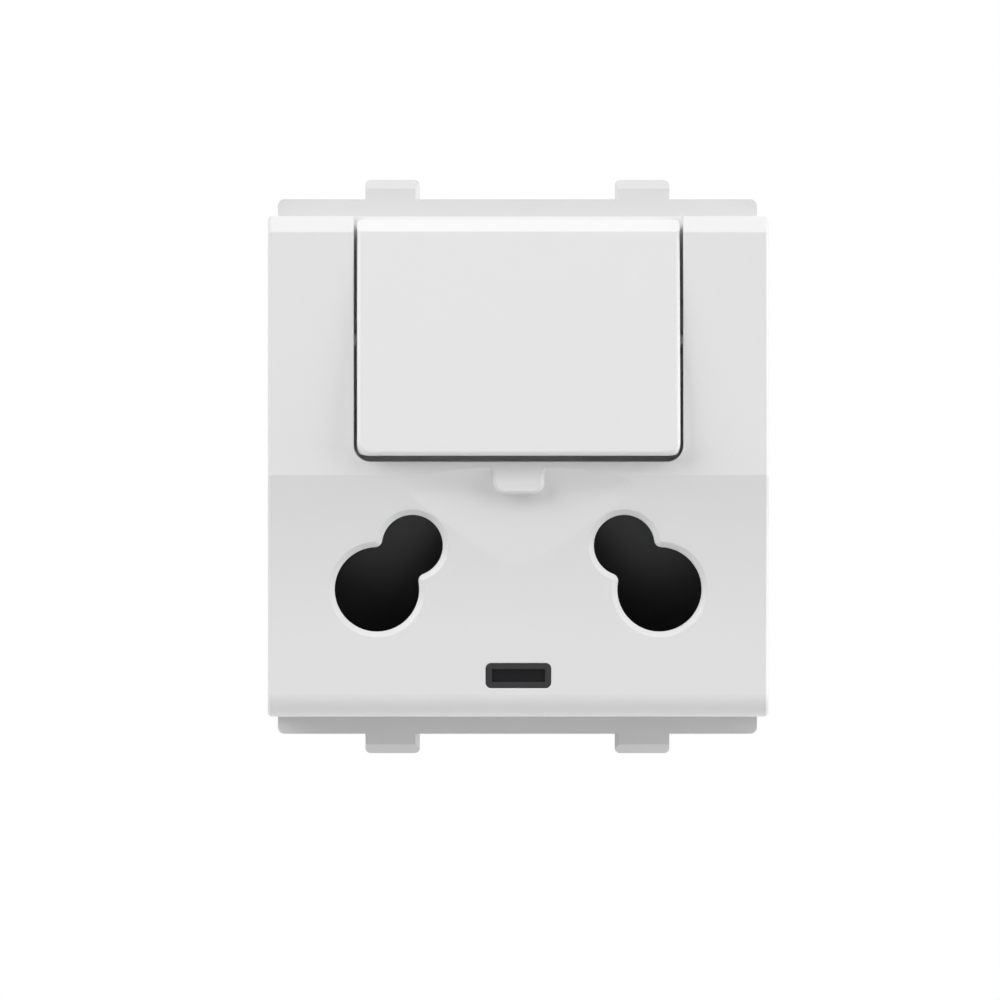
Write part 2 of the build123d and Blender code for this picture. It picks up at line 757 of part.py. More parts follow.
def line_terminal():
    """The brass line terminal with the forked upright on which the contact lever rocks."""
    strip = terminal_plate_at(line_terminal_x, line_terminal_z)
    cradle_x = lever_width / 2 + contact_cover_clearance
    horn_x = cradle_x + horn_width
    band_half = strip_width / 3
    band_z = lever_axis_z - band_half
    strip += block(line_terminal_x, horn_x, strip_y, floor_y, band_z, lever_axis_z + band_half)
    strip += block(line_terminal_x, line_terminal_x + terminal_plate / 2, strip_y, floor_y, band_z, line_terminal_z)
    post_z0 = lever_axis_z - fulcrum_strip / 2
    post_z1 = lever_axis_z + fulcrum_strip / 2
    strip += block(-horn_x, horn_x, lever_axis_y, strip_y, post_z0, post_z1)
    strip += cross_rod(lever_axis_y, lever_axis_z, fulcrum_strip / 2, -cradle_x, cradle_x)
    strip += mirrored(block(cradle_x, horn_x, lever_front_y, lever_axis_y, post_z0, post_z1))
    return strip - terminal_hole(line_terminal_x, line_terminal_z)


def contact_sleeve():
    """The right-hand brass sleeve that grips either size of pin, on a foot that lies on the base's floor."""
    ring = keyhole(sleeve16_radius + sleeve_wall, sleeve6_radius + sleeve_wall, sleeve_neck - sleeve_wall)
    ring -= keyhole(sleeve16_radius, sleeve6_radius, sleeve_neck)
    slit = Pos(-sleeve16_radius, 0) * Rectangle(4 * sleeve_wall, sleeve_slit)
    ring -= Pos(pin16_x, pin16_z) * Rot(0, 0, pin_turn) * slit
    sleeve = slab(ring, sleeve_front_y, sleeve_back_y)
    outer_x = pin16_x + sleeve16_radius + sleeve_wall
    foot_z0 = pin16_z - sleeve16_radius / 2
    foot_z1 = pin16_z + sleeve16_radius
    leg = Pos(outer_x, (foot_z0 + foot_z1) / 2) * Rectangle(2 * sleeve16_radius, foot_z1 - foot_z0)
    sleeve += slab(ring & leg, sleeve_back_y, strip_y)
    foot_x = pin16_x - sleeve16_radius
    sleeve += block(foot_x, outer_x, strip_y, floor_y, foot_z0, foot_z1)
    tail_width = 2 * lead_width
    tail_z = lead_z - tail_width / 2
    sleeve += block(foot_x, foot_x + tail_width, strip_y, floor_y, tail_z, foot_z1)
    sleeve += block(lead_x - tail_width / 2, foot_x + tail_width, strip_y, floor_y, tail_z, tail_z + tail_width)
    return sleeve


def live_contact():
    """The brass live contact: sleeve, strap up the floor and the bracket that carries the fixed pad."""
    contact = contact_sleeve()
    half_strip = strip_width / 2
    half_bracket = lever_width / 2
    face_y = fixed_tip_y + tip_height
    top_z = fixed_tip_z + tip_half + strip_thickness / 2
    tip_foot_z = fixed_tip_z - tip_half
    contact += block(live_strap_x - half_strip, live_strap_x + half_strip, strip_y, floor_y, pin16_z, top_z)
    contact += block(-half_bracket, live_strap_x, strip_y, floor_y, top_z - half_strip, top_z)
    contact += block(-half_bracket, half_bracket, face_y, strip_y, top_z - strip_thickness, top_z)
    contact += block(-half_bracket, half_bracket, face_y, face_y + strip_thickness, tip_foot_z, top_z)
    return contact


def neutral_contact():
    """The brass neutral contact: sleeve, strap and terminal plate."""
    contact = mirror(contact_sleeve(), Plane.YZ)
    strap_x0 = neutral_terminal_x - strip_width / 2
    strap_x1 = neutral_terminal_x + strip_width / 2
    contact += block(strap_x0, strap_x1, strip_y, floor_y, pin16_z, neutral_terminal_z)
    contact += terminal_plate_at(neutral_terminal_x, neutral_terminal_z)
    return contact - terminal_hole(neutral_terminal_x, neutral_terminal_z)


def grip_clip():
    """The right-hand steel clip, bent in flats, that keeps the sleeve's wall pressed on the thick pin."""
    inner = sleeve16_radius + sleeve_wall + clip_clearance
    ring = RegularPolygon(inner + clip_strip, clip_sides, major_radius=False)
    ring -= RegularPolygon(inner, clip_sides, major_radius=False)
    ring -= Pos(2 * inner, 0) * Rectangle(4 * inner - 2 * sleeve_wall, 4 * inner)
    front_y = sleeve_front_y + clip_width
    return slab(Pos(pin16_x, pin16_z) * Rot(0, 0, pin_turn) * ring, front_y, front_y + clip_width)


def neutral_clip():
    """The same clip on the neutral sleeve."""
    return mirror(grip_clip(), Plane.YZ)


def terminal_screws():
    """The two brass terminal screws, driven in from behind."""
    screws = []
    for x, z in terminal_places:
        head_y = floor_y + clamp_thickness
        top_y = head_y + terminal_head_height
        screw = rod(x, z, terminal_screw_radius, head_y - terminal_screw_length, head_y)
        screw += rod(x, z, terminal_head_radius, head_y, top_y)
        half_slot = screw_slot / 2
        reach = 2 * terminal_head_radius
        screw -= block(x - reach, x + reach, top_y - screw_slot, top_y, z - half_slot, z + half_slot)
        screws.append(screw)
    return Compound(children=screws)


def terminal_clamps():
    """The two square clamp washers under the terminal screws."""
    clamps = []
    half_clamp = clamp_width / 2
    for x, z in terminal_places:
        back_y = floor_y + clamp_thickness
        clamp = block(x - half_clamp, x + half_clamp, floor_y, back_y, z - half_clamp, z + half_clamp)
        clamps.append(clamp - rod(x, z, terminal_screw_radius + screw_hole_clearance, floor_y, back_y))
    return Compound(children=clamps)


def cover_screws():
    """The two long steel screws that pull the cover onto the base, on a diagonal."""
    screws = []
    for x, z in cover_screw_places:
        screw = rod(x, z, cover_screw_radius, cover_wall - pad_reach, screw_head_y)
        screws.append(screw + rod(x, z, cover_screw_head, screw_head_y, screw_head_y + cover_screw_head_height))
    return Compound(children=screws)


def indicator_lens():
    """The smoked window with a raised rim, held by a flange behind the cover."""
    rim = Pos(0, lens_z) * RectangleRounded(lens_width, lens_height, lens_corner)
    window = Pos(0, lens_z) * Rectangle(lens_width - 2 * lens_bezel, lens_height - 2 * lens_bezel)
    flange = Pos(0, lens_z) * Rectangle(lens_width + 2 * lens_lip, lens_height + 2 * lens_lip)
    lens = slab(rim, -plateau_reach, plateau_inner_y) - slab(window, -plateau_reach, lens_recess - plateau_reach)
    return lens + slab(flange, plateau_inner_y, plateau_inner_y + lens_flange)


def indicator_board():
    """The small circuit board that carries the lamp, on two pegs of the cover."""
    half_length = board_length / 2
    half_board = board_height / 2
    board = block(-half_length, half_length, board_front_y, board_back_y, lens_z - half_board, lens_z + half_board)
    for x in (-post_pitch / 2, post_pitch / 2):
        board -= post(x, lens_z, peg_width + 2 * lens_clearance, board_front_y, board_back_y)
    return board


def indicator_led():
    """The lamp chip on the front of the board."""
    middle_y = board_front_y - led_depth / 2
    return Pos(0, middle_y, lens_z) * Box(led_width, led_depth, led_height)


def indicator_resistor():
    """The series resistor on the back of the board."""
    middle_y = board_back_y + resistor_depth / 2
    return Pos(0, middle_y, lens_z) * Box(resistor_length, resistor_depth, resistor_height)


def indicator_leads():
    """The two stiff wires from the board to the tails of the contacts."""
    leads = [post(x, lead_z, lead_width, board_back_y, strip_y) for x in (-lead_x, lead_x)]
    return Compound(children=leads)


nodes = {
    "front_cover": front_cover,
    "rear_base": rear_base,
    "contact_cover": contact_cover,
    "shutter": shutter,
    "shutter_spring": shutter_spring,
    "switch_rocker": switch_rocker,
    "switch_plunger": switch_plunger,
    "plunger_spring": plunger_spring,
    "contact_lever": contact_lever,
    "lever_tip": lever_tip,
    "fixed_tip": fixed_tip,
    "line_terminal": line_terminal,
    "live_contact": live_contact,
    "neutral_contact": neutral_contact,
    "live_grip_clip": grip_clip,
    "neutral_grip_clip": neutral_clip,
    "terminal_screws": terminal_screws,
    "terminal_clamps": terminal_clamps,
    "cover_screws": cover_screws,
    "indicator_lens": indicator_lens,
    "indicator_board": indicator_board,
    "indicator_led": indicator_led,
    "indicator_resistor": indicator_resistor,
    "indicator_leads": indicator_leads,
}

os.makedirs("parts", exist_ok=True)
for name, make in nodes.items():
    export_step(make(), f"parts/{name}.step")
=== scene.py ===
import math

import bpy
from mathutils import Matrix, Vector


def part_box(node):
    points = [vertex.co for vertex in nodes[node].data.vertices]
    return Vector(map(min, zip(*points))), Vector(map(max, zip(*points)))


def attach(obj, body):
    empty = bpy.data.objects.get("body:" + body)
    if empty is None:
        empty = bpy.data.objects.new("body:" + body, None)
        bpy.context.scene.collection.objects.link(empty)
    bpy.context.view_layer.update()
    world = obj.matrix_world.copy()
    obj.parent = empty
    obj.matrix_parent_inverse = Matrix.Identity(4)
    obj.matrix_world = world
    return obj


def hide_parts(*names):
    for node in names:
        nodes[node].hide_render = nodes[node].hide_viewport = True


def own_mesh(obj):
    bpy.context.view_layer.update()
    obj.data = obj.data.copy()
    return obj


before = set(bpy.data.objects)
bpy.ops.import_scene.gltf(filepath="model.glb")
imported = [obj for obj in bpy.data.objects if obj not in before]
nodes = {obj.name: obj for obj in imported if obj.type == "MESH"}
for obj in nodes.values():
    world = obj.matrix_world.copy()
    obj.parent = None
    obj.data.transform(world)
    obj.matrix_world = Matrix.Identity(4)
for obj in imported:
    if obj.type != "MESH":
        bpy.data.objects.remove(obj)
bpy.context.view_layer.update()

# Rear base: the white box behind the wall plate, with the flange, the clip lugs and the wire entries.
# It is injection moulded in polycarbonate, so its edges are slightly round from the tool.
# Two screws from behind hold the front cover on it.
mm = 0.001
base_round = 0.12 * mm
weld_gap = 0.002 * mm
flat_angle = math.radians(0.02)
smooth_angle = math.radians(30)
sharp_angle = math.radians(40)
flow_size = 3.0 * mm
flow_detail = 3.0
polycarbonate_ior = 1.58


def linear(code):
    """The linear colour of an sRGB hex code."""
    channels = []
    for start in (1, 3, 5):
        value = int(code[start:start + 2], 16) / 255
        channels.append(value / 12.92 if value <= 0.04045 else ((value + 0.055) / 1.055) ** 2.4)
    return (*channels, 1.0)


def add_node(tree, kind, settings, links):
    """Adds one shader node, with its settings and the links into it."""
    node = tree.nodes.new(kind)
    for name, value in settings.items():
        if name in node.inputs:
            node.inputs[name].default_value = value
        else:
            setattr(node, name, value)
    for name, source in links.items():
        tree.links.new(source, node.inputs[name])
    return node


def start_material(name, colour, settings):
    """A new material with its shader's plain values; returns it with its node tree and shader."""
    material = bpy.data.materials.new(name)
    material.use_nodes = True
    tree = material.node_tree
    shader = tree.nodes["Principled BSDF"]
    shader.inputs["Base Color"].default_value = linear(colour)
    for socket, value in settings.items():
        shader.inputs[socket].default_value = value
    return material, tree, shader


def dress(piece, material):
    """Gives a piece its one material."""
    piece.data.materials.clear()
    piece.data.materials.append(material)


def seat(piece, material, slot, body, *replaced):
    """Dresses a finished piece, fixes it to its body and lets it stand for its CAD nodes."""
    dress(piece, material)
    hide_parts(*replaced)
    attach(piece, body)


def skin(node_name):
    """A copy of a CAD node as one closed skin, its flat faces whole."""
    bpy.ops.object.select_all(action="DESELECT")
    source = nodes[node_name]
    source.select_set(True)
    bpy.context.view_layer.objects.active = source
    bpy.ops.object.duplicate()
    piece = bpy.context.view_layer.objects.active
    piece.name = f"{node_name}_skin"
    bpy.ops.object.mode_set(mode="EDIT")
    bpy.ops.mesh.select_all(action="SELECT")
    bpy.ops.mesh.remove_doubles(threshold=weld_gap)
    bpy.ops.mesh.normals_make_consistent(inside=False)
    bpy.ops.mesh.dissolve_limited(angle_limit=flat_angle)
    bpy.ops.object.mode_set(mode="OBJECT")
    return piece


def round_edges(piece, width):
    """Rounds the sharp edges of a piece and keeps its flat faces flat."""
    bpy.ops.object.shade_smooth_by_angle(angle=smooth_angle)
    bevel = piece.modifiers.new("edges", "BEVEL")
    bevel.width = width
    bevel.segments = 2
    bevel.limit_method = "ANGLE"
    bevel.angle_limit = sharp_angle
    bevel.harden_normals = True
    bpy.ops.object.modifier_apply(modifier=bevel.name)
    weigh = piece.modifiers.new("flat_faces", "WEIGHTED_NORMAL")
    weigh.keep_sharp = True
    weigh.weight = 100
    bpy.ops.object.modifier_apply(modifier=weigh.name)


# Base polycarbonate: a satin skin with a very faint flow pattern.
# Its grey, a little darker than the front, is painted shade for the flange set back behind the cover.
base_plastic_painted_shade, tree, shader = start_material(
    "white_polycarbonate_with_painted_shade", "#DADADA", {"IOR": polycarbonate_ior}
)
place = add_node(tree, "ShaderNodeTexCoord", {}, {})
flow = add_node(
    tree, "ShaderNodeTexNoise", {"Scale": 1 / flow_size, "Detail": flow_detail},
    {"Vector": place.outputs["Object"]},
)
gloss = add_node(
    tree, "ShaderNodeMapRange", {"To Min": 0.38, "To Max": 0.46}, {"Value": flow.outputs["Fac"]}
)
tree.links.new(gloss.outputs["Result"], shader.inputs["Roughness"])
rear_base = skin("rear_base")
round_edges(rear_base, base_round)
seat(rear_base, base_plastic_painted_shade, "white_plastic", "housing", "rear_base")

# Contacts: the line terminal, the live and neutral sleeves and the contact lever.
# They are stamped and bent from rolled brass strip.
# The rolls leave a warm shine in fine upright lines, drawn coarser here than the real ones to show.
rolling_size = 0.15 * mm
rolling_stretch = (1.0, 1.0, 0.08)
brass, tree, shader = start_material("rolled_brass_strip", "#CFA652", {"Metallic": 1.0})
place = add_node(tree, "ShaderNodeTexCoord", {}, {})
drawn = add_node(tree, "ShaderNodeMapping", {"Scale": rolling_stretch}, {"Vector": place.outputs["Object"]})
lines = add_node(
    tree, "ShaderNodeTexNoise", {"Scale": 1 / rolling_size}, {"Vector": drawn.outputs["Vector"]}
)
gloss = add_node(
    tree, "ShaderNodeMapRange", {"To Min": 0.22, "To Max": 0.42}, {"Value": lines.outputs["Fac"]}
)
tree.links.new(gloss.outputs["Result"], shader.inputs["Roughness"])
for node_name in ("line_terminal", "live_contact", "neutral_contact", "contact_lever"):
    dress(nodes[node_name], brass)

# Contact pads: two small square pads of fine silver, welded to the lever and to the live bracket.
# A thin uneven tarnish breaks up their shine.
tarnish_size = 0.6 * mm
silver, tree, shader = start_material("fine_silver", "#E3E2DE", {"Metallic": 1.0})
place = add_node(tree, "ShaderNodeTexCoord", {}, {})
tarnish = add_node(
    tree, "ShaderNodeTexNoise", {"Scale": 1 / tarnish_size}, {"Vector": place.outputs["Object"]}
)
gloss = add_node(
    tree, "ShaderNodeMapRange", {"To Min": 0.2, "To Max": 0.4}, {"Value": tarnish.outputs["Fac"]}
)
tree.links.new(gloss.outputs["Result"], shader.inputs["Roughness"])
for node_name in ("lever_tip", "fixed_tip"):
    dress(nodes[node_name], silver)

# Steel pieces: the grip clips round the sleeves, the clamp washers and the lamp's leads.
# All are zinc plated, which leaves a cloudy crystal shine.
# The crystals are drawn coarser than the real ones, which would be too fine to show.
crystal_size = 0.5 * mm
clamp_round = 0.15 * mm
steel, tree, shader = start_material("zinc_plated_steel", "#BFC1C4", {"Metallic": 1.0})
place = add_node(tree, "ShaderNodeTexCoord", {}, {})
crystals = add_node(
    tree, "ShaderNodeTexVoronoi", {"Scale": 1 / crystal_size}, {"Vector": place.outputs["Object"]}
)
gloss = add_node(
    tree, "ShaderNodeMapRange", {"To Min": 0.27, "To Max": 0.43}, {"Value": crystals.outputs["Distance"]}
)
tree.links.new(gloss.outputs["Result"], shader.inputs["Roughness"])
for node_name in ("live_grip_clip", "neutral_grip_clip", "indicator_leads"):
    dress(nodes[node_name], steel)
clamps = skin("terminal_clamps")
round_edges(clamps, clamp_round)
seat(clamps, steel, "steel", "housing", "terminal_clamps")

# Terminal screws: two brass cheese-head screws that press the clamp washers onto the wires.
# They are turned, with a rolled thread and one sawn slot.
terminal_head_radius = 2.9 * mm
terminal_head_height = 2.0 * mm
terminal_head_round = 0.35 * mm
terminal_shank_radius = 1.75 * mm
terminal_shank_length = 3.4 * mm
terminal_pitch = 0.6 * mm
terminal_slot = 0.8 * mm
terminal_slot_length = 3 * terminal_head_radius
terminal_head_y = 17.0 * mm
terminal_places = ((-10.4 * mm, 15.0 * mm), (-13.0 * mm, 3.0 * mm))
thread_share = 0.6
thread_steps = 24
plain_turns = 2
point_share = 0.3
head_sides = 48
straight = 0.9
screw_smooth_angle = math.radians(35)
wear_size = 0.4 * mm


def pick(piece, side):
    """Selects in edit mode the faces of a piece that look straight up (side 1) or down (side -1)."""
    bpy.ops.object.mode_set(mode="EDIT")
    bpy.ops.mesh.select_mode(type="FACE")
    bpy.ops.mesh.select_all(action="DESELECT")
    bpy.ops.object.mode_set(mode="OBJECT")
    for face in piece.data.polygons:
        face.select = side * face.normal.z > straight
    bpy.ops.object.mode_set(mode="EDIT")


def wind(piece, turns, pitch, steps):
    """Winds a closed section round the Z axis as a helix and closes its two ends."""
    screw = piece.modifiers.new("winding", "SCREW")
    screw.angle = 2 * math.pi
    screw.screw_offset = pitch
    screw.iterations = turns
    screw.steps = steps
    screw.render_steps = steps
    bpy.ops.object.modifier_apply(modifier=screw.name)
    bpy.ops.object.mode_set(mode="EDIT")
    bpy.ops.mesh.select_all(action="SELECT")
    bpy.ops.mesh.fill_holes(sides=0)
    bpy.ops.mesh.select_all(action="SELECT")
    bpy.ops.mesh.normals_make_consistent(inside=False)
    bpy.ops.object.mode_set(mode="OBJECT")


def bolt(name, head_radius, head_height, head_round, shank_radius, shank_length, pitch):
    """A screw along Z with its head standing on the origin and a threaded shank below it."""
    thread = thread_share * pitch
    core = shank_radius - thread
    bpy.ops.object.select_all(action="DESELECT")
    # The ridge is a triangle as high as the thread, with its foot on the core.
    bpy.ops.mesh.primitive_circle_add(
        vertices=3, radius=thread / 1.5, location=(core + thread / 3, 0, pitch / 2 - shank_length),
        rotation=(math.pi / 2, math.pi / 2, 0),
    )
    ridge = bpy.context.object
    bpy.ops.object.transform_apply(location=True, rotation=True, scale=True)
    wind(ridge, int(shank_length / pitch) - plain_turns, pitch, thread_steps)
    bpy.ops.object.select_all(action="DESELECT")
    bpy.ops.mesh.primitive_cylinder_add(
        vertices=head_sides, radius=head_radius, depth=head_height, location=(0, 0, head_height / 2)
    )
    piece = bpy.context.object
    piece.name = name
    bpy.ops.object.transform_apply(location=True, rotation=True, scale=True)
    pick(piece, 1)
    bpy.ops.mesh.bevel(offset=head_round, segments=4, affect="EDGES")
    pick(piece, -1)
    bpy.ops.mesh.inset(thickness=head_radius - core)
    bpy.ops.mesh.extrude_region_move(TRANSFORM_OT_translate={"value": (0, 0, -shank_length)})
    bpy.ops.mesh.bevel(offset=point_share * core, segments=1, affect="EDGES")
    bpy.ops.object.mode_set(mode="OBJECT")
    ridge.select_set(True)
    bpy.ops.object.join()
    return piece


def cut_slot(piece, length, width, depth, top, turn, taper):
    """Cuts one slot across the top of a screw's head; a taper below one narrows its foot."""
    bpy.ops.object.select_all(action="DESELECT")
    bpy.ops.mesh.primitive_cube_add(size=1, location=(0, 0, top), rotation=(0, 0, turn))
    cutter = bpy.context.object
    cutter.scale = (length, width, 2 * depth)
    bpy.ops.object.transform_apply(location=True, rotation=True, scale=True)
    pick(cutter, -1)
    bpy.ops.transform.resize(value=(taper, taper, 1))
    bpy.ops.object.mode_set(mode="OBJECT")
    bpy.ops.object.select_all(action="DESELECT")
    piece.select_set(True)
    bpy.context.view_layer.objects.active = piece
    cut = piece.modifiers.new("slot", "BOOLEAN")
    cut.operation = "DIFFERENCE"
    cut.solver = "EXACT"
    cut.use_self = True
    cut.object = cutter
    bpy.ops.object.modifier_apply(modifier=cut.name)
    bpy.data.objects.remove(cutter)


def stand(piece, place, turn):
    """Turns a piece about X and moves it, then bakes its place into its mesh."""
    bpy.ops.object.select_all(action="DESELECT")
    piece.select_set(True)
    bpy.context.view_layer.objects.active = piece
    piece.rotation_euler = (turn, 0, 0)
    piece.location = place
    bpy.ops.object.transform_apply(location=True, rotation=True, scale=True)


def pair(first, step):
    """Adds a second copy of a piece at a step from it and joins the two in one object."""
    bpy.ops.object.select_all(action="DESELECT")
    first.select_set(True)
    bpy.context.view_layer.objects.active = first
    bpy.ops.object.duplicate()
    second = bpy.context.view_layer.objects.active
    second.location = step
    bpy.ops.object.transform_apply(location=True, rotation=True, scale=True)
    first.select_set(True)
    bpy.context.view_layer.objects.active = first
    bpy.ops.object.join()
    bpy.ops.object.shade_smooth_by_angle(angle=screw_smooth_angle)
    return first


terminal_screw = bolt(
    "terminal_screw_pair", terminal_head_radius, terminal_head_height, terminal_head_round,
    terminal_shank_radius, terminal_shank_length, terminal_pitch,
)
cut_slot(
    terminal_screw, terminal_slot_length, terminal_slot, terminal_slot, terminal_head_height,
    turn=0.0, taper=1.0,
)
(first_x, first_z), (second_x, second_z) = terminal_places
stand(terminal_screw, (first_x, terminal_head_y, first_z), -math.pi / 2)
terminal_screw = pair(terminal_screw, (second_x - first_x, 0, second_z - first_z))

# Turned brass: a bright warm shine, a little uneven from the tool and from handling.
turned_brass, tree, shader = start_material("turned_brass", "#D2AA57", {"Metallic": 1.0})
place = add_node(tree, "ShaderNodeTexCoord", {}, {})
wear = add_node(
    tree, "ShaderNodeTexNoise", {"Scale": 1 / wear_size}, {"Vector": place.outputs["Object"]}
)
gloss = add_node(
    tree, "ShaderNodeMapRange", {"To Min": 0.2, "To Max": 0.36}, {"Value": wear.outputs["Fac"]}
)
tree.links.new(gloss.outputs["Result"], shader.inputs["Roughness"])
seat(terminal_screw, turned_brass, "brass", "housing", "terminal_screws")

# Contact cover and shutter: black polyamide mouldings behind the pin holes.
# The cover plate keeps the sleeves in the base, and the shutter slides in front of it.
# Their dull, faintly grained skin throws little light back, so the holes look black.
grain_size = 0.25 * mm
grain_depth = 0.02 * mm
black_plastic, tree, shader = start_material(
    "moulded_black_polyamide", "#212123", {"Roughness": 0.55, "IOR": 1.53, "Specular IOR Level": 0.45}
)
place = add_node(tree, "ShaderNodeTexCoord", {}, {})
grain = add_node(
    tree, "ShaderNodeTexNoise", {"Scale": 1 / grain_size}, {"Vector": place.outputs["Object"]}
)
bump = add_node(
    tree, "ShaderNodeBump", {"Strength": 0.15, "Distance": grain_depth}, {"Height": grain.outputs["Fac"]}
)
tree.links.new(bump.outputs["Normal"], shader.inputs["Normal"])
for node_name in ("contact_cover", "shutter"):
    dress(nodes[node_name], black_plastic)

# Shutter spring: the coil between the shelf and the shutter's bridge that keeps the pin holes shut.
# It is wound from hard-drawn steel wire, and the rising shutter presses it together against the shelf.
spring_radius = 1.8 * mm
spring_wire = 0.4 * mm
spring_turns = 6
spring_length = 16.3 * mm
spring_foot = (0, 0.4 * mm, -12.3 * mm)
wire_sides = 12
coil_steps = 32
coil_smooth_angle = math.radians(50)
film_size = 0.8 * mm


def coil(name, radius, wire, turns, length):
    """A compression spring of round wire standing on the origin along Z."""
    bpy.ops.object.select_all(action="DESELECT")
    bpy.ops.mesh.primitive_circle_add(
        vertices=wire_sides, radius=wire / 2, location=(radius, 0, wire / 2), rotation=(math.pi / 2, 0, 0)
    )
    piece = bpy.context.object
    piece.name = name
    bpy.ops.object.transform_apply(location=True, rotation=True, scale=True)
    wind(piece, turns, (length - wire) / turns, coil_steps)
    bpy.ops.object.shade_smooth_by_angle(angle=coil_smooth_angle)
    return piece


shutter_spring = coil("shutter_coil", spring_radius, spring_wire, spring_turns, spring_length)
stand(shutter_spring, spring_foot, 0.0)

# Spring wire: bright drawn steel with a slight uneven oil film.
spring_steel, tree, shader = start_material("drawn_spring_steel", "#B4B6B9", {"Metallic": 1.0})
place = add_node(tree, "ShaderNodeTexCoord", {}, {})
film = add_node(
    tree, "ShaderNodeTexNoise", {"Scale": 1 / film_size}, {"Vector": place.outputs["Object"]}
)
gloss = add_node(
    tree, "ShaderNodeMapRange", {"To Min": 0.18, "To Max": 0.36}, {"Value": film.outputs["Fac"]}
)
tree.links.new(gloss.outputs["Result"], shader.inputs["Roughness"])
seat(shutter_spring, spring_steel, "steel", "housing", "shutter_spring")
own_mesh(shutter_spring)

# Indicator board: a small upright board behind the lens that carries the lamp and its resistor.
# It is cut from glass-fibre epoxy, whose weave shows faintly through the green lacquer.
# The weave is drawn coarser than the real one, which would be too fine to show.
weave_size = 0.4 * mm
weave_depth = 0.01 * mm
board_round = 0.08 * mm
board_resin, tree, shader = start_material("glass_epoxy_board", "#2C6B44", {"Roughness": 0.45})
place = add_node(tree, "ShaderNodeTexCoord", {}, {})
weave = add_node(
    tree, "ShaderNodeTexChecker", {"Scale": 1 / weave_size}, {"Vector": place.outputs["Object"]}
)
bump = add_node(
    tree, "ShaderNodeBump", {"Strength": 0.2, "Distance": weave_depth}, {"Height": weave.outputs["Fac"]}
)
tree.links.new(bump.outputs["Normal"], shader.inputs["Normal"])
board = skin("indicator_board")
round_edges(board, board_round)
seat(board, board_resin, "board", "housing", "indicator_board")

# Indicator lamp: a moulded chip of milky resin soldered to the board, facing the lens.
# The resin is cloudier in some places than in others.
milk_size = 0.5 * mm
lamp_round = 0.12 * mm
lamp_resin, tree, shader = start_material("milky_lamp_resin", "#E0D2AC", {"Roughness": 0.2})
place = add_node(tree, "ShaderNodeTexCoord", {}, {})
cloud = add_node(
    tree, "ShaderNodeTexNoise", {"Scale": 1 / milk_size}, {"Vector": place.outputs["Object"]}
)
milk = add_node(tree, "ShaderNodeMix", {"data_type": "RGBA"}, {"Factor": cloud.outputs["Fac"]})
milk.inputs["A"].default_value = shader.inputs["Base Color"].default_value
milk.inputs["B"].default_value = linear("#EEE6CE")
tree.links.new(milk.outputs["Result"], shader.inputs["Base Color"])
lamp_chip = skin("indicator_led")
round_edges(lamp_chip, lamp_round)
seat(lamp_chip, lamp_resin, "lamp", "housing", "indicator_led")

# Indicator resistor: a flat ceramic chip under black glaze, with a tinned cap at each end.
# The caps are soldered to the board, beside the lamp.
resistor_low, resistor_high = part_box("indicator_resistor")
resistor_middle = (resistor_low[0] + resistor_high[0]) / 2
cap_start = 0.32 * (resistor_high[0] - resistor_low[0])
resistor_round = 0.06 * mm
resistor_glaze, tree, shader = start_material("black_glaze_and_tin", "#26282B", {"Roughness": 0.3})
place = add_node(tree, "ShaderNodeTexCoord", {}, {})
centred = add_node(
    tree, "ShaderNodeMapping", {"Location": (-resistor_middle, 0, 0)}, {"Vector": place.outputs["Object"]}
)
axes = add_node(tree, "ShaderNodeSeparateXYZ", {}, {"Vector": centred.outputs["Vector"]})
away = add_node(tree, "ShaderNodeMath", {"operation": "ABSOLUTE"}, {0: axes.outputs["X"]})
cap = add_node(tree, "ShaderNodeMath", {"operation": "GREATER_THAN"}, {0: away.outputs[0]})
cap.inputs[1].default_value = cap_start
coat = add_node(tree, "ShaderNodeMix", {"data_type": "RGBA"}, {"Factor": cap.outputs[0]})
coat.inputs["A"].default_value = shader.inputs["Base Color"].default_value
coat.inputs["B"].default_value = linear("#C9CACB")
tree.links.new(coat.outputs["Result"], shader.inputs["Base Color"])
tree.links.new(cap.outputs[0], shader.inputs["Metallic"])
resistor = skin("indicator_resistor")
round_edges(resistor, resistor_round)
seat(resistor, resistor_glaze, "resistor", "housing", "indicator_resistor")

# Indicator lens: the smoked window under the pin holes, held by a flange behind the cover.
# It is moulded in tinted polycarbonate; the paler rim is a painted highlight, darkening inward to the sunk
# window's smoked tone.
rim_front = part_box("indicator_lens")[0][1]
rim_back = rim_front + 0.5 * mm
lens_round = 0.15 * mm
smoked, tree, shader = start_material(
    "smoked_polycarbonate", "#38383A",
    {"Roughness": 0.3, "IOR": polycarbonate_ior, "Specular IOR Level": 0.15},
)
place = add_node(tree, "ShaderNodeTexCoord", {}, {})
axes = add_node(tree, "ShaderNodeSeparateXYZ", {}, {"Vector": place.outputs["Object"]})
# Painted highlight: the colour is paler at the rim's front and darkens over its depth to the window's tone.
depth = add_node(
    tree, "ShaderNodeMapRange", {"From Min": rim_front, "From Max": rim_back}, {"Value": axes.outputs["Y"]}
)
tone = add_node(tree, "ShaderNodeMix", {"data_type": "RGBA"}, {"Factor": depth.outputs["Result"]})
tone.inputs["A"].default_value = shader.inputs["Base Color"].default_value
tone.inputs["B"].default_value = linear("#131315")
tree.links.new(tone.outputs["Result"], shader.inputs["Base Color"])
lens = skin("indicator_lens")
round_edges(lens, lens_round)
seat(lens, smoked, "smoked_plastic", "housing", "indicator_lens")

